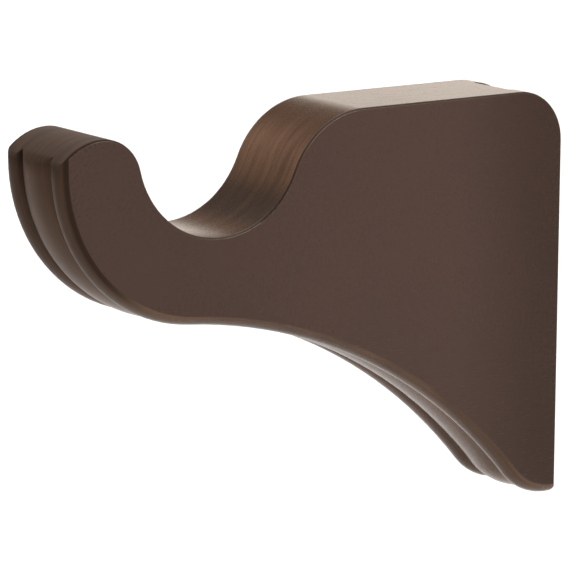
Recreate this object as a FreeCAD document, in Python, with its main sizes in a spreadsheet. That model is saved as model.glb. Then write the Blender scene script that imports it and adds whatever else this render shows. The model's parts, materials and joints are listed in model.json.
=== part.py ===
import FreeCAD, Part
import math
import os
import Sketcher
from FreeCAD import Placement, Rotation, Vector

# One-piece wooden curtain pole bracket. Units are millimetres.
# X runs along the pole, across the thickness. The flat back lies in the plane Y = 0 and the nose points to -Y.
# Z is up, with Z = 0 at half the height of the back.

doc = FreeCAD.newDocument("pole_bracket")

# Driving dimensions

sizes = {
    "thickness": 28.7,
    "body_height": 116.8,
    "wall_to_pole": 114.9,
    "pole_below_top": 4.95,
    "cup_radius": 26.0,
    "shoulder_radius": 24.2,
    "rear_top_radius": 14.6,
    "lip_below_top": 1.45,
    "lip_inner_radius": 12.0,
    "lip_width": 13.15,
    "lip_drop": 6.5,
    "nose_straight": 1.0,
    "nose_radius": 45.4,
    "sweep_radius": 159.7,
    "foot_radius": 19.3,
    "foot_flat": 1.3,
    "heel_radius": 2.0,
    "bead_radius": 3.5,
    "bead_depth": 2.9,
    "quirk_depth": 2.05,
    "dome_proud": 0.15,
    "eased_edge": 0.6,
    "slot_width": 16.0,
    "slot_depth": 14.5,
    "slot_length": 46.0,
    "moulding_stock": 1.5,
    "overrun": 4.0,
}
sheet = doc.addObject("Spreadsheet::Sheet", "Sizes")
for row, (alias, value) in enumerate(sizes.items(), start=1):
    sheet.set("A%d" % row, alias)
    sheet.set("B%d" % row, str(value))
    sheet.setAlias("B%d" % row, alias)
doc.recompute()


def size(alias):
    return float(sheet.get(alias))


half_height = size("body_height") / 2
half_thickness = size("thickness") / 2

body = doc.addObject("PartDesign::Body", "bracket_body")
body.Label = "bracket_body"


def origin_plane(role):
    for feature in body.Origin.OriginFeatures:
        if feature.Role == role:
            return feature
    raise RuntimeError("origin plane not found: " + role)


def new_sketch(name, role, lift=0.0):
    sketch = body.newObject("Sketcher::SketchObject", name)
    sketch.AttachmentSupport = [(origin_plane(role), "")]
    sketch.MapMode = "FlatFace"
    sketch.AttachmentOffset = Placement(Vector(0, 0, lift), Rotation())
    return sketch


def arc(centre, radius, start, end):
    circle = Part.Circle(Vector(centre[0], centre[1], 0), Vector(0, 0, 1), radius)
    return Part.ArcOfCircle(circle, start, end)


def line(a, b):
    return Part.LineSegment(Vector(a[0], a[1], 0), Vector(b[0], b[1], 0))


def bearing(a, b):
    return math.atan2(b[1] - a[1], b[0] - a[0])


derived = {}


def amount(formula):
    """Works out a sum of named sizes, each with an optional divisor."""
    total = 0.0
    for term in formula.replace("- ", "-").replace("+ ", "+").split():
        name, _, divisor = term.lstrip("+-").partition("/")
        value = derived[name] if name in derived else size(name)
        total += (-value if term.startswith("-") else value) / float(divisor or 1)
    return total


def tied(formula):
    """Writes the same sum with the names as the document knows them."""
    words = []
    for term in formula.split():
        name, slash, divisor = term.partition("/")
        if name in derived:
            name = "side_outline.Constraints." + name + " / 1mm"
        elif name in sizes:
            name = "Sizes." + name
        words.append(name + slash + divisor)
    return " ".join(words)


def dimension(sketch, name, formula, kind, *where):
    """Adds a driving constraint and ties it to the sheet."""
    index = sketch.addConstraint(Sketcher.Constraint(kind, *where, amount(formula)))
    sketch.renameConstraint(index, name)
    sketch.setExpression("Constraints." + name, tied(formula))


def fix(sketch, kind, *where):
    sketch.addConstraint(Sketcher.Constraint(kind, *where))


# Centres of the arcs that make the side outline, in the plane Y, Z.
# Each arc meets the next one tangentially, so the centres follow from the radii.


def beside(a, b, reach_a, reach_b):
    """The point at the two given distances from a and b, on the right-hand side going from a to b."""
    span = math.dist(a, b)
    along = (span ** 2 + reach_a ** 2 - reach_b ** 2) / (2 * span)
    off = math.sqrt(reach_a ** 2 - along ** 2)
    dy, dz = (b[0] - a[0]) / span, (b[1] - a[1]) / span
    return (a[0] + along * dy + off * dz, a[1] + along * dz - off * dy)


pole = (-size("wall_to_pole"), half_height - size("pole_below_top"))
shoulder_z = half_height - size("shoulder_radius")
shoulder_span = size("shoulder_radius") + size("cup_radius")
shoulder = (pole[0] + math.sqrt(shoulder_span ** 2 - (pole[1] - shoulder_z) ** 2), shoulder_z)
lip_top = half_height - size("lip_below_top")
lip_z = lip_top - size("lip_inner_radius")
lip_span = size("lip_inner_radius") + size("cup_radius")
lip = (pole[0] - math.sqrt(lip_span ** 2 - (pole[1] - lip_z) ** 2), lip_z)
corner = (lip[0] - size("lip_width"), lip_top - size("lip_drop"))
lip_front_radius = (size("lip_width") ** 2 + size("lip_drop") ** 2) / (2 * size("lip_drop"))
lip_front = (lip[0], lip_top - lip_front_radius)
nose = (corner[0] + size("nose_radius"), corner[1] - size("nose_straight"))
foot = (-size("foot_flat"), -half_height + size("foot_radius"))
sweep = beside(nose, foot, size("nose_radius") + size("sweep_radius"), size("foot_radius") + size("sweep_radius"))


def lower_edge(sketch, stock):
    """Draws nose arc, sweep arc and foot arc, the given distance outside the finished edge."""
    join = bearing(nose, sweep) + 2 * math.pi
    toe = bearing(sweep, foot)
    sketch.addGeometry(arc(nose, size("nose_radius") + stock, math.pi, join))
    sketch.addGeometry(arc(sweep, size("sweep_radius") - stock, toe, join - math.pi))
    sketch.addGeometry(arc(foot, size("foot_radius") + stock, toe + math.pi, 1.5 * math.pi))


# Side outline, with stock left outside the nose, sweep and foot for the moulding cut

stock = size("moulding_stock")
rear = size("rear_top_radius")
front_y = corner[0] - stock
floor_z = -half_height - stock

outline = new_sketch("side_outline", "YZ_Plane")
outline.addGeometry(line((0, floor_z), (0, half_height - rear)))
outline.addGeometry(arc((-rear, half_height - rear), rear, 0, math.pi / 2))
outline.addGeometry(line((-rear, half_height), (shoulder[0], half_height)))
outline.addGeometry(arc(shoulder, size("shoulder_radius"), math.pi / 2, bearing(shoulder, pole)))
outline.addGeometry(arc(pole, size("cup_radius"), bearing(pole, lip), bearing(pole, shoulder)))
outline.addGeometry(arc(lip, size("lip_inner_radius"), bearing(lip, pole), math.pi / 2))
outline.addGeometry(arc(lip_front, lip_front_radius, math.pi / 2, bearing(lip_front, corner)))
outline.addGeometry(line(corner, (front_y, corner[1])))
outline.addGeometry(line((front_y, corner[1]), (front_y, nose[1])))
lower_edge(outline, stock)
outline.addGeometry(line((foot[0], floor_z), (0, floor_z)))
for before, after in (((0, 2), (1, 1)), ((1, 2), (2, 1)), ((2, 2), (3, 1)), ((3, 2), (4, 2)),
                      ((4, 1), (5, 1)), ((5, 2), (6, 1)), ((8, 2), (9, 1)), ((9, 2), (10, 2)),
                      ((10, 1), (11, 1)), ((11, 2), (12, 1))):
    fix(outline, "Tangent", *before, *after)
for before, after in (((6, 2), (7, 1)), ((7, 2), (8, 1)), ((12, 2), (0, 1))):
    fix(outline, "Coincident", *before, *after)
fix(outline, "PointOnObject", 0, 1, -2)
fix(outline, "Vertical", 0)
fix(outline, "Horizontal", 2)
fix(outline, "Horizontal", 7)
fix(outline, "Vertical", 8)
fix(outline, "Horizontal", 12)
fix(outline, "Vertical", 5, 3, 6, 3)
dimension(outline, "top_height", "body_height/2", "DistanceY", -1, 1, 2, 1)
dimension(outline, "bottom_depth", "body_height/2 + moulding_stock", "DistanceY", 12, 1, -1, 1)
dimension(outline, "rear_round", "rear_top_radius", "Radius", 1)
dimension(outline, "shoulder_round", "shoulder_radius", "Radius", 3)
dimension(outline, "cup_round", "cup_radius", "Radius", 4)
dimension(outline, "cup_reach", "wall_to_pole", "DistanceX", 4, 3, -1, 1)
dimension(outline, "cup_height", "body_height/2 - pole_below_top", "DistanceY", -1, 1, 4, 3)
dimension(outline, "lip_inner", "lip_inner_radius", "Radius", 5)
dimension(outline, "lip_height", "body_height/2 - lip_below_top", "DistanceY", -1, 1, 5, 2)
dimension(outline, "lip_out", "lip_width", "DistanceX", 7, 1, 5, 2)
dimension(outline, "lip_down", "lip_drop", "DistanceY", 7, 1, 5, 2)
dimension(outline, "front_stock", "moulding_stock", "DistanceX", 7, 2, 7, 1)
dimension(outline, "front_straight", "nose_straight", "DistanceY", 8, 2, 8, 1)
dimension(outline, "nose_round", "nose_radius + moulding_stock", "Radius", 9)
dimension(outline, "sweep_round", "sweep_radius - moulding_stock", "Radius", 10)
dimension(outline, "foot_round", "foot_radius + moulding_stock", "Radius", 11)
dimension(outline, "foot_straight", "foot_flat", "DistanceX", 11, 3, -1, 1)
derived["crest_reach"] = -corner[0]
reach_index = outline.addConstraint(Sketcher.Constraint("DistanceX", 7, 1, -1, 1, -corner[0]))
outline.setDriving(reach_index, False)
outline.renameConstraint(reach_index, "crest_reach")

pad = body.newObject("PartDesign::Pad", "board")
pad.Profile = outline
pad.SideType = "Symmetric"
pad.setExpression("Length", "Sizes.thickness")
doc.recompute()

# Eased edges on both faces, all along the plain part of the outline


def plain_edges(shape):
    names = []
    for index, edge in enumerate(shape.Edges, start=1):
        box = edge.BoundBox
        if box.XLength > 0.01 or abs(abs(box.XMin) - half_thickness) > 0.01:
            continue
        middle = edge.valueAt((edge.FirstParameter + edge.LastParameter) / 2)
        spot = (middle.y, middle.z)
        on_nose = abs(math.dist(spot, nose) - size("nose_radius") - stock) < 0.01
        on_sweep = abs(math.dist(spot, sweep) - size("sweep_radius") + stock) < 0.01
        on_foot = abs(math.dist(spot, foot) - size("foot_radius") - stock) < 0.01
        on_stock = middle.y < corner[0] - 0.01 or middle.z < floor_z + 0.01
        if not (on_nose or on_sweep or on_foot or on_stock):
            names.append("Edge%d" % index)
    return names


eased = body.newObject("PartDesign::Fillet", "eased_edges")
eased.Base = (pad, plain_edges(pad.Shape))
eased.setExpression("Radius", "Sizes.eased_edge")
doc.recompute()

# Path of the moulding: down the nose, along the underside and round the foot to the wall

overrun = size("overrun")
start_z = half_height + overrun
path = new_sketch("moulding_path", "YZ_Plane")
path.addGeometry(line((corner[0], start_z), (corner[0], nose[1])))
lower_edge(path, 0.0)
path.addGeometry(line((foot[0], -half_height), (overrun, -half_height)))
fix(path, "Vertical", 0)
fix(path, "Horizontal", 4)
fix(path, "Tangent", 0, 2, 1, 1)
fix(path, "Tangent", 1, 2, 2, 2)
fix(path, "Tangent", 2, 1, 3, 1)
fix(path, "Tangent", 3, 2, 4, 1)
dimension(path, "nose_out", "crest_reach", "DistanceX", 0, 1, -1, 1)
dimension(path, "nose_height", "body_height/2 - lip_below_top - lip_drop - nose_straight", "DistanceY", -1, 1, 0, 2)
dimension(path, "nose_round", "nose_radius", "Radius", 1)
dimension(path, "sweep_round", "sweep_radius", "Radius", 2)
dimension(path, "foot_round", "foot_radius", "Radius", 3)
dimension(path, "foot_straight", "foot_flat", "DistanceX", 3, 3, -1, 1)
dimension(path, "bottom_depth", "body_height/2", "DistanceY", 4, 1, -1, 1)
dimension(path, "path_start", "body_height/2 + overrun", "DistanceY", -1, 1, 0, 1)
dimension(path, "path_end", "overrun", "DistanceX", -1, 1, 4, 2)

# Section of the waste: a half-round bead at each face, a low dome between them and a sharp quirk where they meet

bead_y = corner[0] + size("bead_radius")
flank = (half_thickness, corner[0] + size("bead_depth"))
bead_x = half_thickness - math.sqrt(size("bead_radius") ** 2 - (bead_y - flank[1]) ** 2)
quirk_y = corner[0] + size("quirk_depth")
quirk = (bead_x - math.sqrt(size("bead_radius") ** 2 - (bead_y - quirk_y) ** 2), quirk_y)
dome_top = corner[0] - size("dome_proud")
dome_radius = (quirk[0] ** 2 + (quirk_y - dome_top) ** 2) / (2 * (quirk_y - dome_top))
dome = (0, dome_top + dome_radius)
outside = half_thickness + overrun / 2
beyond = corner[0] - stock - overrun

waste = new_sketch("moulding_section", "XY_Plane", start_z)
waste.setExpression("AttachmentOffset.Base.z", "Sizes.body_height / 2 + Sizes.overrun")
flank_angle = bearing((bead_x, bead_y), flank)
quirk_angle = bearing((bead_x, bead_y), quirk)
dome_angle = bearing(dome, quirk)
waste.addGeometry(arc((bead_x, bead_y), size("bead_radius"), quirk_angle, flank_angle))
waste.addGeometry(arc(dome, dome_radius, -math.pi - dome_angle, dome_angle))
waste.addGeometry(arc((-bead_x, bead_y), size("bead_radius"), math.pi - flank_angle, math.pi - quirk_angle))
waste.addGeometry(line((-flank[0], flank[1]), (-outside, flank[1])))
waste.addGeometry(line((-outside, flank[1]), (-outside, beyond)))
waste.addGeometry(line((-outside, beyond), (outside, beyond)))
waste.addGeometry(line((outside, beyond), (outside, flank[1])))
waste.addGeometry(line((outside, flank[1]), flank))
waste.addGeometry(Part.Point(Vector(0, dome_top, 0)), True)
for before, after in (((0, 1), (1, 2)), ((1, 1), (2, 2)), ((2, 1), (3, 1)), ((3, 2), (4, 1)),
                      ((4, 2), (5, 1)), ((5, 2), (6, 1)), ((6, 2), (7, 1)), ((7, 2), (0, 2))):
    fix(waste, "Coincident", *before, *after)
fix(waste, "Horizontal", 3)
fix(waste, "Vertical", 4)
fix(waste, "Vertical", 6)
fix(waste, "Horizontal", 7)
fix(waste, "PointOnObject", 1, 3, -2)
fix(waste, "PointOnObject", 8, 1, -2)
fix(waste, "PointOnObject", 8, 1, 1)
fix(waste, "Symmetric", 0, 3, 2, 3, -2)
fix(waste, "Symmetric", 0, 2, 2, 1, -2)
fix(waste, "Symmetric", 5, 1, 5, 2, -2)
dimension(waste, "bead_round", "bead_radius", "Radius", 0)
dimension(waste, "bead_out", "crest_reach - bead_radius", "DistanceY", 0, 3, -1, 1)
dimension(waste, "face_place", "thickness/2", "DistanceX", -1, 1, 0, 2)
dimension(waste, "flank_out", "crest_reach - bead_depth", "DistanceY", 0, 2, -1, 1)
dimension(waste, "quirk_out", "crest_reach - quirk_depth", "DistanceY", 0, 1, -1, 1)
dimension(waste, "dome_out", "crest_reach + dome_proud", "DistanceY", 8, 1, -1, 1)
dimension(waste, "side_room", "overrun/2", "DistanceX", 0, 2, 6, 2)
dimension(waste, "front_room", "bead_depth + moulding_stock + overrun", "DistanceY", 6, 1, 6, 2)

moulding = body.newObject("PartDesign::SubtractivePipe", "moulded_edge")
moulding.Profile = waste
moulding.Spine = (path, [])
doc.recompute()

# Heel: the bottom rear corner is rounded over

heel = new_sketch("heel_outline", "YZ_Plane")
heel_y = -size("heel_radius")
heel_z = -half_height + size("heel_radius")
below = -half_height - overrun
heel.addGeometry(arc((heel_y, heel_z), size("heel_radius"), 1.5 * math.pi, 2 * math.pi))
heel.addGeometry(line((0, heel_z), (overrun, heel_z)))
heel.addGeometry(line((overrun, heel_z), (overrun, below)))
heel.addGeometry(line((overrun, below), (heel_y, below)))
heel.addGeometry(line((heel_y, below), (heel_y, -half_height)))
for before, after in (((0, 2), (1, 1)), ((1, 2), (2, 1)), ((2, 2), (3, 1)), ((3, 2), (4, 1)), ((4, 2), (0, 1))):
    fix(heel, "Coincident", *before, *after)
fix(heel, "Horizontal", 1)
fix(heel, "Vertical", 2)
fix(heel, "Horizontal", 3)
fix(heel, "Vertical", 4)
fix(heel, "Horizontal", 0, 3, 0, 2)
fix(heel, "Vertical", 0, 3, 0, 1)
fix(heel, "PointOnObject", 0, 2, -2)
dimension(heel, "heel_round", "heel_radius", "Radius", 0)
dimension(heel, "heel_depth", "body_height/2", "DistanceY", 0, 1, -1, 1)
dimension(heel, "heel_back", "overrun", "DistanceX", -1, 1, 1, 2)
dimension(heel, "heel_below", "overrun", "DistanceY", 3, 2, 0, 1)
rounding = body.newObject("PartDesign::Pocket", "heel")
rounding.Profile = heel
rounding.SideType = "Symmetric"
rounding.Type = "Length"
rounding.setExpression("Length", "Sizes.thickness + Sizes.overrun")
doc.recompute()

# Hanging slot in the back, open through the rounded rear top corner and closed by a half-round end

slot = new_sketch("slot_outline", "XZ_Plane")
half_slot = size("slot_width") / 2
slot_end = half_height - size("slot_length") + half_slot
slot.addGeometry(arc((0, slot_end), half_slot, math.pi, 2 * math.pi))
slot.addGeometry(line((half_slot, slot_end), (half_slot, start_z)))
slot.addGeometry(line((half_slot, start_z), (-half_slot, start_z)))
slot.addGeometry(line((-half_slot, start_z), (-half_slot, slot_end)))
fix(slot, "Tangent", 0, 2, 1, 1)
fix(slot, "Coincident", 1, 2, 2, 1)
fix(slot, "Coincident", 2, 2, 3, 1)
fix(slot, "Tangent", 3, 2, 0, 1)
fix(slot, "Vertical", 1)
fix(slot, "Horizontal", 2)
fix(slot, "Vertical", 3)
fix(slot, "PointOnObject", 0, 3, -2)
dimension(slot, "slot_round", "slot_width/2", "Radius", 0)
dimension(slot, "slot_bottom", "body_height/2 - slot_length + slot_width/2", "DistanceY", -1, 1, 0, 3)
dimension(slot, "slot_top", "body_height/2 + overrun", "DistanceY", -1, 1, 1, 2)
hanger = body.newObject("PartDesign::Pocket", "hanging_slot")
hanger.Profile = slot
hanger.Type = "Length"
hanger.setExpression("Length", "Sizes.slot_depth")
hanger.Reversed = True
doc.recompute()
body.Tip = hanger
doc.recompute()

# Checks and export

for thing in doc.Objects:
    if "Invalid" in thing.State or "Error" in thing.State:
        raise RuntimeError("%s: %s" % (thing.Name, thing.State))
steps = [pad.Shape.Volume, eased.Shape.Volume, moulding.Shape.Volume, rounding.Shape.Volume, hanger.Shape.Volume]
print("volumes", [round(v) for v in steps])
if any(after >= before for before, after in zip(steps, steps[1:])):
    raise RuntimeError("a cut removed nothing")
parts = [body]
for part in parts:
    if part.Shape.isNull() or not part.Shape.isValid() or len(part.Shape.Solids) != 1:
        raise RuntimeError("bad shape: " + part.Label)
os.makedirs("parts", exist_ok=True)
for part in parts:
    part.Shape.exportStep("parts/%s.step" % part.Label)
    print(part.Label, part.Shape.BoundBox, round(part.Shape.Volume))
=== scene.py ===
import json
import math

import bmesh
import bpy
from bpy.props import FloatProperty, FloatVectorProperty, PointerProperty
from mathutils import Matrix, Vector


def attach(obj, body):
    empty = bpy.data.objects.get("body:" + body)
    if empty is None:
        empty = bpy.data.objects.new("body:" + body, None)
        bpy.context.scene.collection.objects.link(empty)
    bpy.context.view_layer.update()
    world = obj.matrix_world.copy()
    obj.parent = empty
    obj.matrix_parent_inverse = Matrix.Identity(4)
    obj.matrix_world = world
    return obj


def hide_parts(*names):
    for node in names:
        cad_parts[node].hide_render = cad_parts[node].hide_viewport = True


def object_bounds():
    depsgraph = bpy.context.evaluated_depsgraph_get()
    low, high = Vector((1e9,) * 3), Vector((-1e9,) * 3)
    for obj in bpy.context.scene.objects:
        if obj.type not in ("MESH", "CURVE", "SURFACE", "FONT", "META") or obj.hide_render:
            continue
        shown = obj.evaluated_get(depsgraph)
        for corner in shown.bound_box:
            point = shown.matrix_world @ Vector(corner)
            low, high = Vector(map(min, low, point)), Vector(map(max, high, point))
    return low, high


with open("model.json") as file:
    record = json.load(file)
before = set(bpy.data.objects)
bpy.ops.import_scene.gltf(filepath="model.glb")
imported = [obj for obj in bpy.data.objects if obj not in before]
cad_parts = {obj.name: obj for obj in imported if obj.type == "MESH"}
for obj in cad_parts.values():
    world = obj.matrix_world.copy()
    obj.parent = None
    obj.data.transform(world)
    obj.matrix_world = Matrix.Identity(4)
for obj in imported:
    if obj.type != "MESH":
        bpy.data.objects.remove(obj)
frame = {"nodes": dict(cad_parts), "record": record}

# A one-piece wooden curtain pole bracket, stained dark brown under a satin lacquer.
# X runs along the pole, the flat back lies at Y = 0 with the nose towards -Y, and Z is up. Lengths are in
# metres.

bl_info = {
    "name": "Curtain Pole Bracket",
    "version": (1, 0, 0),
    "blender": (4, 5, 0),
    "location": "View3D > Sidebar > Bracket",
    "description": "Finishes a moulded wooden curtain pole bracket and lights it on a pale floor",
    "category": "Object",
}

CAD_LOW, CAD_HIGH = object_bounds()
BODY = "bracket_body"
CUP = next(mount for mount in frame["record"]["mounts"] if mount["name"] == "pole_cup")
CUP_CENTRE = Vector(CUP["pos_m"])
HALF_THICKNESS = CAD_HIGH.x
GAP = 1e-6
SHARP_ANGLE = math.radians(52)
WHITE = (1.0, 1.0, 1.0)

# The zones of stain, painted shade and painted light have soft borders, each given as the two places
# between which a zone fades.
# Measured across, from the bracket's middle:
FACE_BORDER = (HALF_THICKNESS - 0.0001, HALF_THICKNESS - 0.00002)
ARRIS_BORDER = (HALF_THICKNESS - 0.0011, HALF_THICKNESS - 0.0004)
BEAD_BORDER = (HALF_THICKNESS - 0.0075, HALF_THICKNESS - 0.0065)
# Measured along Y:
BY_WALL_BORDER = (-0.040, -0.002)
CUP_REAR_BORDER = (-0.078, -0.066)
CUP_FLOOR_BORDER = (CUP_CENTRE.y + 0.006, CUP_CENTRE.y + 0.014)
LIP_SIDE_BORDER = (-0.130, -0.070)
LIP_BORDER = (-0.150, -0.132)
NOSE_BORDER = (-0.160, -0.135)
# Measured along Z:
# Below this border the cup wall is darkened: painted shade.
PAINTED_SHADE_TOP = (CUP_CENTRE.z - 0.020, CUP_CENTRE.z - 0.012)
# Between these two borders the cup wall is lightened: painted light.
PAINTED_LIGHT_FOOT = (CUP_CENTRE.z - 0.018, CUP_CENTRE.z - 0.008)
PAINTED_LIGHT_TOP = (CUP_CENTRE.z - 0.006, CUP_CENTRE.z + 0.003)
UNDERSIDE_TOP = (0.010, 0.022)
LIP_FOOT = (0.046, 0.052)

# What each zone of the edges adds: darker stain that soaked in, with painted shade low on the cup wall;
# lighter stain that is rubbed off, with a painted light band higher up the cup wall; and roughness.
SOAKED_IN_AND_PAINTED_SHADE = {"painted_shade": 0.95, "nose": 0.15, "lip": 0.70, "bead": 0.50}
RUBBED_OFF_AND_PAINTED_LIGHT = {"painted_light": 0.64, "underside": 0.14, "nose": 0.03}
DULLED = {"nose": 0.22, "lip": 0.32, "arris": 0.45}
RUBBED_ALL_OVER = 0.10
ARRIS_STAIN = 0.80
PORE_STAIN = 0.10
# The broad faces are darkened towards the back edge and towards the lip: painted shade.
FACE_PAINTED_SHADE_BY_WALL = 0.70
FACE_PAINTED_SHADE_AT_LIP = 0.22
RED_TINT = (1.25, 1.15, 0.85)
LACQUER_TINT = (1.0, 0.86, 0.72)

# Patterns: finer streaks and colour streaks as shares of a streak's width and length, and the parts of a
# noise between which a streak or a pore appears.
FINE_STREAK = (0.16, 0.7)
HUE_STREAK = (1.6, 0.8)
STREAK_CONTRAST = (0.34, 0.72)
PORE_CONTRAST = (0.58, 0.74)
CLOUDS_PER_METRE = 24.0
SPECKLES_PER_METRE = 900.0

# The studio's walls fade into one another between these parts of a direction.
FAR_SIDE = (-0.35, 0.35)
BEHIND = (-0.40, 0.40)
LOW_PART = (0.20, 0.40)
CEILING = (0.66, 0.76)

# Square soft lamps: name, place and aim from the bracket's middle, side, watts and colour.
LAMPS = (
    ("overhead", (-0.35, -0.10, 1.30), (0.0, 0.0, 0.0), 1.0, 8.0, WHITE),
    ("floor", (-2.10, 1.50, 3.60), (-2.10, 1.5001, 0.0), 2.2, 145.0, WHITE),
    ("side", (0.75, 0.24, 0.44), (0.0, 0.0, 0.0), 0.5, 7.9, WHITE),
    ("front", (-0.50, -1.00, 0.90), (0.0, 0.0, 0.0), 0.8, 7.0, (1.0, 0.85, 0.65)),
)
FLOOR_COLOUR = (0.86, 0.86, 0.87)
FLOOR_ROUGHNESS = 0.8
FLOOR_SIZE = 60.0
SENSOR_WIDTH = 36.0


class LacquerSettings(bpy.types.PropertyGroup):
    """Colours and sizes of the stained and lacquered wood; the thin stain colour also serves as painted
    light and the pore colour as painted shade.
    """

    face: FloatVectorProperty(
        name="Face stain", description="Colour of the stain on the two broad faces",
        subtype="COLOR", size=3, min=0, max=1, default=(0.0400, 0.0230, 0.0195))
    edge: FloatVectorProperty(
        name="Edge stain", description="Colour of the stain on the sawn and moulded edges",
        subtype="COLOR", size=3, min=0, max=1, default=(0.0360, 0.0165, 0.0085))
    # This colour is also painted on the upper cup wall as painted light.
    worn_and_painted_light: FloatVectorProperty(
        name="Thin stain", description="Colour where the stain is rubbed thin",
        subtype="COLOR", size=3, min=0, max=1, default=(0.1650, 0.0900, 0.0580))
    # This colour is also painted low in the cup and on the faces towards the back and the lip as painted
    # shade.
    pore_and_painted_shade: FloatVectorProperty(
        name="Pores", description="Colour of the stain gathered in the pores",
        subtype="COLOR", size=3, min=0, max=1, default=(0.0120, 0.0060, 0.0040))
    pore_length: FloatProperty(
        name="Pore length", description="Length of one pore along the grain",
        subtype="DISTANCE", default=0.0045, min=0.001, max=0.05)
    pore_width: FloatProperty(
        name="Pore width", description="Distance between two rows of pores",
        subtype="DISTANCE", default=0.00045, min=0.0001, max=0.005)
    streak_length: FloatProperty(
        name="Streak length", description="Length of the streaks that the cutter leaves along an edge",
        subtype="DISTANCE", default=0.035, min=0.005, max=0.3)
    streak_width: FloatProperty(
        name="Streak width", description="Distance between two such streaks",
        subtype="DISTANCE", default=0.0026, min=0.0003, max=0.02)
    relief: FloatProperty(
        name="Relief", description="Depth of the streaks and pores under the lacquer",
        subtype="DISTANCE", default=0.00012, min=0.0, max=0.001)
    gloss: FloatProperty(
        name="Roughness", description="Roughness of the satin lacquer",
        default=0.22, min=0.05, max=0.9)


class StageSettings(bpy.types.PropertyGroup):
    """Floor, lights and camera of the stage."""

    floor_drop: FloatProperty(
        name="Floor drop", description="Distance of the floor below the bracket",
        subtype="DISTANCE", default=0.30, min=0.0, max=2.0)
    backdrop: FloatProperty(
        name="Backdrop", description="Brightness of the low backdrop behind the bracket",
        default=2.0, min=0, max=10)
    front: FloatProperty(
        name="Front screen", description="Brightness of the low screen in front of the nose",
        default=0.40, min=0, max=10)
    warmth: FloatVectorProperty(
        name="Warmth", description="Colour of the light from the backdrop and the walls",
        subtype="COLOR", size=3, min=0, max=1, default=(1.0, 0.92, 0.82))
    wall: FloatProperty(
        name="Wall", description="Brightness of the wall above the front screen",
        default=0.45, min=0, max=10)
    beside: FloatProperty(
        name="Side wall", description="Brightness of the wall on the near side",
        default=1.0, min=0, max=10)
    ceiling: FloatProperty(
        name="Ceiling", description="Brightness of the ceiling",
        default=1.0, min=0, max=10)
    distance: FloatProperty(
        name="Camera distance", description="Distance from the camera to its target",
        subtype="DISTANCE", default=1.0911, min=0.3, max=10)
    azimuth: FloatProperty(
        name="Camera azimuth", description="Angle round the bracket; 0 looks along +Y",
        subtype="ANGLE", default=math.radians(55.163))
    elevation: FloatProperty(
        name="Camera elevation", description="Angle above the horizon",
        subtype="ANGLE", default=math.radians(11.350))
    roll: FloatProperty(
        name="Camera roll", description="Turn about the line of sight",
        subtype="ANGLE", default=math.radians(0.376))
    target: FloatVectorProperty(
        name="Camera target", description="Point in the bracket's mid plane that the camera looks at",
        subtype="XYZ", size=3, default=(0.0, -0.08339, 0.00794))
    lens: FloatProperty(
        name="Lens", description="Focal length in millimetres on a 36 mm sensor",
        default=248.91, min=10, max=1000)


class Wire:
    """A node's output socket. Arithmetic on it adds Math nodes to the same tree."""

    def __init__(self, bench, socket):
        self.bench = bench
        self.socket = socket

    def _math(self, operation, *values):
        return self.bench.node("ShaderNodeMath", {"operation": operation}, dict(enumerate(values)))

    def __add__(self, other):
        return self._math("ADD", self, other)

    def __radd__(self, other):
        return self._math("ADD", other, self)

    def __sub__(self, other):
        return self._math("SUBTRACT", self, other)

    def __rsub__(self, other):
        return self._math("SUBTRACT", other, self)

    def __mul__(self, other):
        return self._math("MULTIPLY", self, other)

    def __rmul__(self, other):
        return self._math("MULTIPLY", other, self)

    def __abs__(self):
        return self._math("ABSOLUTE", self)


class Bench:
    """Builds a material's or a world's nodes, one by one, towards its output's surface."""

    def __init__(self, owner, output):
        owner.use_nodes = True
        self.tree = owner.node_tree
        self.tree.nodes.clear()
        self.output = self.tree.nodes.new(output)

    def node(self, kind, settings, inputs, output=0):
        """Adds a node: its settings first, then the values or links of its sockets."""
        made = self.tree.nodes.new(kind)
        for name, value in settings.items():
            setattr(made, name, value)
        for key, value in inputs.items():
            socket = made.inputs[key]
            if isinstance(value, Wire):
                self.tree.links.new(value.socket, socket)
            else:
                socket.default_value = value
        return Wire(self, made.outputs[output])

    def place(self, kind="Object"):
        """The place on the piece, or the direction of a ray for a world."""
        return self.node("ShaderNodeTexCoord", {}, {}, output=kind)

    def parts(self, vector):
        """A vector's X, Y and Z."""
        split = self.node("ShaderNodeSeparateXYZ", {}, {"Vector": vector}).socket.node
        return [Wire(self, split.outputs[axis]) for axis in "XYZ"]

    def blend(self, factor, a, b):
        """Mixes two colours by a factor."""
        return self.node("ShaderNodeMix", {"data_type": "RGBA"}, {0: factor, 6: a, 7: b}, output=2)

    def past(self, value, border):
        """0 before a soft border, 1 past it."""
        inputs = {"Value": value, "From Min": border[0], "From Max": border[1]}
        return self.node("ShaderNodeMapRange", {"interpolation_type": "SMOOTHSTEP"}, inputs)

    def before(self, value, border):
        """1 before a soft border, 0 past it."""
        return 1 - self.past(value, border)

    def noise(self, vector, scale, detail=2.0, roughness=0.5):
        """A cloudy pattern from 0 to 1."""
        inputs = {"Vector": vector, "Scale": scale, "Detail": detail, "Roughness": roughness}
        return self.node("ShaderNodeTexNoise", {}, inputs)

    def stretched(self, vector, x, y, z):
        """Coordinates that grow by 1 over the given length along each axis."""
        return self.node("ShaderNodeMapping", {}, {"Vector": vector, "Scale": (1 / x, 1 / y, 1 / z)})

    def finish(self, kind, inputs):
        """Adds the shader and links it to the output."""
        shader = self.node(kind, {}, inputs)
        self.tree.links.new(shader.socket, self.output.inputs["Surface"])


def rgba(colour):
    return (*colour, 1.0)


def tinted(colour, tint):
    return [part * share for part, share in zip(colour, tint)]


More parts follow.
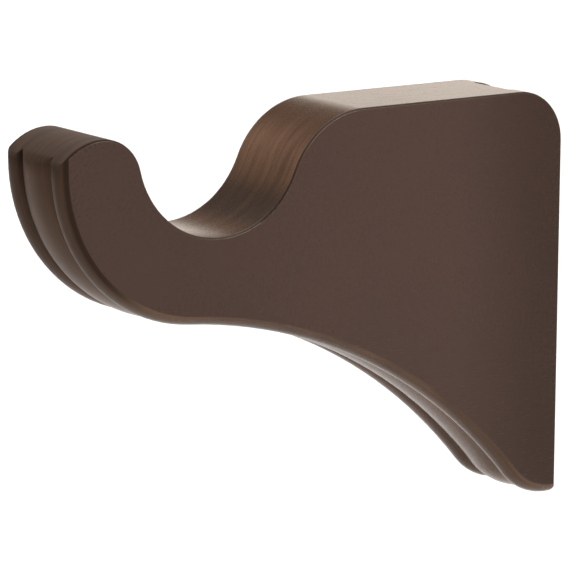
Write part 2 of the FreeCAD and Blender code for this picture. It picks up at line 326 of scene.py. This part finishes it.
def stain_zones(bench, place):
    """Masks from 0 to 1 of the places where the stain or the lacquer differs, and of the painted shade and
    painted light.
    """
    across, out, up = bench.parts(place)
    across = abs(across)
    edge = bench.before(across, FACE_BORDER)
    nose = bench.before(out, NOSE_BORDER)
    underside = bench.before(up, UNDERSIDE_TOP) * (1 - nose)
    cup_wall = bench.past(out, CUP_FLOOR_BORDER) * bench.before(out, CUP_REAR_BORDER)
    return {
        "edge": edge,
        "nose": nose,
        "underside": underside,
        "by_wall": bench.past(out, BY_WALL_BORDER),
        "lip_side": bench.before(out, LIP_SIDE_BORDER),
        "lip": bench.before(out, LIP_BORDER) * bench.past(up, LIP_FOOT),
        # Painted light: a lighter band on the upper cup wall.
        "painted_light": cup_wall * bench.past(up, PAINTED_LIGHT_FOOT) * bench.before(up, PAINTED_LIGHT_TOP),
        # Painted shade: the lower cup wall is darkened.
        "painted_shade": cup_wall * bench.before(up, PAINTED_SHADE_TOP),
        "bead": bench.past(across, BEAD_BORDER) * (underside + nose),
        "arris": edge * bench.past(across, ARRIS_BORDER) * (1 - underside),
    }


def weighed(zones, shares):
    """The sum of the named zones, each times its share."""
    return sum(share * zones[name] for name, share in shares.items())


def lacquered_wood(settings):
    """Dark stained hardwood: even faces with fine pores, streaked edges, painted shade low in the cup and
    on the faces towards the back and the lip, painted light on the upper cup wall, a satin lacquer over
    all.
    """
    material = bpy.data.materials.new("dark lacquered wood")
    bench = Bench(material, "ShaderNodeOutputMaterial")
    place = bench.place()
    zones = stain_zones(bench, place)
    face, edge, worn_and_painted_light, pore_and_painted_shade = (rgba(c) for c in (settings.face, settings.edge, settings.worn_and_painted_light, settings.pore_and_painted_shade))

    def streaks(width_share, length_share, detail, roughness):
        width, length = settings.streak_width * width_share, settings.streak_length * length_share
        return bench.noise(bench.stretched(place, width, length, length), 1.0, detail, roughness)

    broad = streaks(1.0, 1.0, 4.0, 0.62)
    fine = streaks(*FINE_STREAK, 3.0, 0.6)
    hue = streaks(*HUE_STREAK, 2.0, 0.5)
    streak = bench.past(0.62 * broad + 0.38 * fine, STREAK_CONTRAST)
    width, length = settings.pore_width, settings.pore_length
    pore_noise = bench.noise(bench.stretched(place, width, length, width), 1.0, 2.0, 0.6)
    pores = bench.past(pore_noise, PORE_CONTRAST)
    cloud = bench.noise(place, CLOUDS_PER_METRE, 3.0, 0.55)
    speckle = bench.noise(place, SPECKLES_PER_METRE, 3.0, 0.65)

    # Painted shade: the faces darken towards the back edge and towards the lip.
    face_painted_shade = FACE_PAINTED_SHADE_BY_WALL * zones["by_wall"] + FACE_PAINTED_SHADE_AT_LIP * zones["lip_side"]
    even = bench.blend(0.06 * cloud + 0.05 * speckle, bench.blend(face_painted_shade, face, pore_and_painted_shade), worn_and_painted_light)
    stain = bench.blend(hue, edge, rgba(tinted(settings.edge, RED_TINT)))
    # Painted shade low in the cup, together with darker stain soaked into the nose, lip and beads.
    soaked_and_painted_shade = bench.blend(weighed(zones, SOAKED_IN_AND_PAINTED_SHADE), stain, pore_and_painted_shade)
    # Painted light on the upper cup wall, together with stain rubbed thin along the cutter's streaks.
    wear_and_painted_light = (RUBBED_ALL_OVER + weighed(zones, RUBBED_OFF_AND_PAINTED_LIGHT)) * (0.35 + 1.3 * streak)
    streaked = bench.blend(wear_and_painted_light, soaked_and_painted_shade, worn_and_painted_light)
    sides = bench.blend(zones["edge"], even, streaked)
    colour = bench.blend(PORE_STAIN * pores, bench.blend(ARRIS_STAIN * zones["arris"], sides, pore_and_painted_shade), pore_and_painted_shade)

    texture = 0.06 * cloud + 0.04 * speckle + 0.05 * pores
    streak_height = zones["edge"] * (1 - zones["by_wall"]) * (0.7 * fine + 1.2 * broad)
    height = 0.2 * speckle - 0.3 * pores + streak_height
    relief = {"Strength": 0.10, "Distance": settings.relief, "Height": height}
    bench.finish("ShaderNodeBsdfPrincipled", {
        "Base Color": colour,
        "Roughness": settings.gloss + texture + zones["edge"] * weighed(zones, DULLED),
        "Normal": bench.node("ShaderNodeBump", {}, relief),
        "IOR": 1.5,
        "Specular IOR Level": 0.25,
        "Specular Tint": rgba(LACQUER_TINT),
    })
    return material


def pale_floor():
    """A plain pale floor with a hardly visible unevenness."""
    material = bpy.data.materials.new("pale floor")
    bench = Bench(material, "ShaderNodeOutputMaterial")
    lighter = [min(1.0, part * 1.02) for part in FLOOR_COLOUR]
    tone = bench.blend(bench.noise(bench.place(), 3.0), rgba(FLOOR_COLOUR), rgba(lighter))
    bench.finish("ShaderNodeBsdfPrincipled", {
        "Base Color": tone, "Roughness": FLOOR_ROUGHNESS, "Specular IOR Level": 0.1})
    return material


def finished_object(name, form, material):
    """Turns a bmesh into an object of the scene."""
    mesh = bpy.data.meshes.new(name)
    form.to_mesh(mesh)
    form.free()
    mesh.materials.append(material)
    return placed(name, mesh)


def placed(name, data):
    thing = bpy.data.objects.new(name, data)
    bpy.context.scene.collection.objects.link(thing)
    return thing


class BRACKET_OT_body(bpy.types.Operator):
    """Makes the finished wooden bracket over its solid, with smooth mouldings and crisp quirks"""

    bl_idname = "bracket.body"
    bl_label = "Wooden bracket"

    def execute(self, context):
        form = bmesh.new()
        form.from_mesh(frame["nodes"][BODY].data)
        bmesh.ops.remove_doubles(form, verts=form.verts, dist=GAP)
        bmesh.ops.dissolve_degenerate(form, edges=form.edges, dist=GAP)
        loose = [edge for edge in form.edges if not edge.is_manifold]
        if loose:
            raise RuntimeError("the bracket's shell has %d open edges" % len(loose))
        for face in form.faces:
            face.smooth = True
        for edge in form.edges:
            edge.smooth = edge.calc_face_angle() < SHARP_ANGLE
        bracket = finished_object("bracket", form, lacquered_wood(context.scene.bracket_lacquer))
        weighted = bracket.modifiers.new("flat faces first", "WEIGHTED_NORMAL")
        weighted.mode = "FACE_AREA"
        weighted.weight = 50
        weighted.keep_sharp = True
        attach(bracket, "root")
        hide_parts(BODY)
        return {"FINISHED"}


def studio_walls(settings):
    """A bright low backdrop on the far side, dimmer walls above it and a bright ceiling."""
    world = bpy.data.worlds.new("studio")
    bench = Bench(world, "ShaderNodeOutputWorld")
    x, y, z = bench.parts(bench.place("Generated"))
    far = bench.before(x, FAR_SIDE)
    behind = bench.past(y, BEHIND)
    low = bench.before(z, LOW_PART)
    ceiling = bench.past(z, CEILING)
    back = behind * low * settings.backdrop
    front = (1 - behind) * (low * settings.front + (1 - low) * settings.wall)
    beside = (1 - far) * behind * settings.beside
    walls = (1 - ceiling) * (far * (back + front) + beside)
    bench.finish("ShaderNodeBackground", {
        "Color": bench.blend(ceiling, rgba(settings.warmth), rgba(WHITE)),
        "Strength": far * ceiling * settings.ceiling + walls,
    })
    return world


def soft_light(name, place, aim, side, power, colour):
    lamp = bpy.data.lights.new(name, "AREA")
    lamp.shape = "SQUARE"
    lamp.size = side
    lamp.energy = power
    lamp.color = colour
    thing = placed(name, lamp)
    thing.location = place
    thing.rotation_euler = (aim - place).to_track_quat("-Z", "Y").to_euler()


def photo_camera(settings):
    """A camera that circles its target at the set azimuth, elevation, roll and distance."""
    lens = bpy.data.cameras.new("camera")
    lens.sensor_width = SENSOR_WIDTH
    lens.lens = settings.lens
    lens.clip_start = 0.05
    lens.clip_end = 50
    level = math.cos(settings.elevation)
    back = Vector((math.sin(settings.azimuth) * level, -math.cos(settings.azimuth) * level,
                   math.sin(settings.elevation)))
    turn = (-back).to_track_quat("-Z", "Y").to_matrix().to_4x4()
    place = Matrix.Translation(Vector(settings.target) + back * settings.distance)
    camera = placed("camera", lens)
    camera.matrix_world = place @ turn @ Matrix.Rotation(settings.roll, 4, "Z")
    return camera


class BRACKET_OT_stage(bpy.types.Operator):
    """Lays the pale floor, hangs the soft lights and sets the camera"""

    bl_idname = "bracket.stage"
    bl_label = "Stage"

    def execute(self, context):
        settings = context.scene.bracket_stage
        form = bmesh.new()
        bmesh.ops.create_grid(form, x_segments=1, y_segments=1, size=FLOOR_SIZE)
        bmesh.ops.translate(form, verts=form.verts, vec=(0, 0, CAD_LOW.z - settings.floor_drop))
        finished_object("floor", form, pale_floor())
        centre = (CAD_LOW + CAD_HIGH) / 2
        for name, place, aim, side, power, colour in LAMPS:
            soft_light(name, centre + Vector(place), centre + Vector(aim), side, power, colour)
        context.scene.world = studio_walls(settings)
        context.scene.camera = photo_camera(settings)
        context.scene.view_settings.view_transform = "Standard"
        return {"FINISHED"}


class BRACKET_PT_panel(bpy.types.Panel):
    """Lists the bracket's settings and steps"""

    bl_label = "Curtain pole bracket"
    bl_idname = "BRACKET_PT_panel"
    bl_space_type = "VIEW_3D"
    bl_region_type = "UI"
    bl_category = "Bracket"

    def draw(self, context):
        for step, group in STEPS:
            self.layout.operator(step.bl_idname)
            settings = getattr(context.scene, group)
            for name in settings.bl_rna.properties.keys():
                if name not in ("rna_type", "name"):
                    self.layout.prop(settings, name)


STEPS = ((BRACKET_OT_body, "bracket_lacquer"), (BRACKET_OT_stage, "bracket_stage"))
CLASSES = (LacquerSettings, StageSettings, BRACKET_OT_body, BRACKET_OT_stage, BRACKET_PT_panel)


def register():
    for kind in CLASSES:
        bpy.utils.register_class(kind)
    bpy.types.Scene.bracket_lacquer = PointerProperty(type=LacquerSettings)
    bpy.types.Scene.bracket_stage = PointerProperty(type=StageSettings)


def unregister():
    del bpy.types.Scene.bracket_stage
    del bpy.types.Scene.bracket_lacquer
    for kind in reversed(CLASSES):
        bpy.utils.unregister_class(kind)


def main():
    register()
    bpy.ops.bracket.body()
    bpy.ops.bracket.stage()


if __name__ == "__main__":
    main()
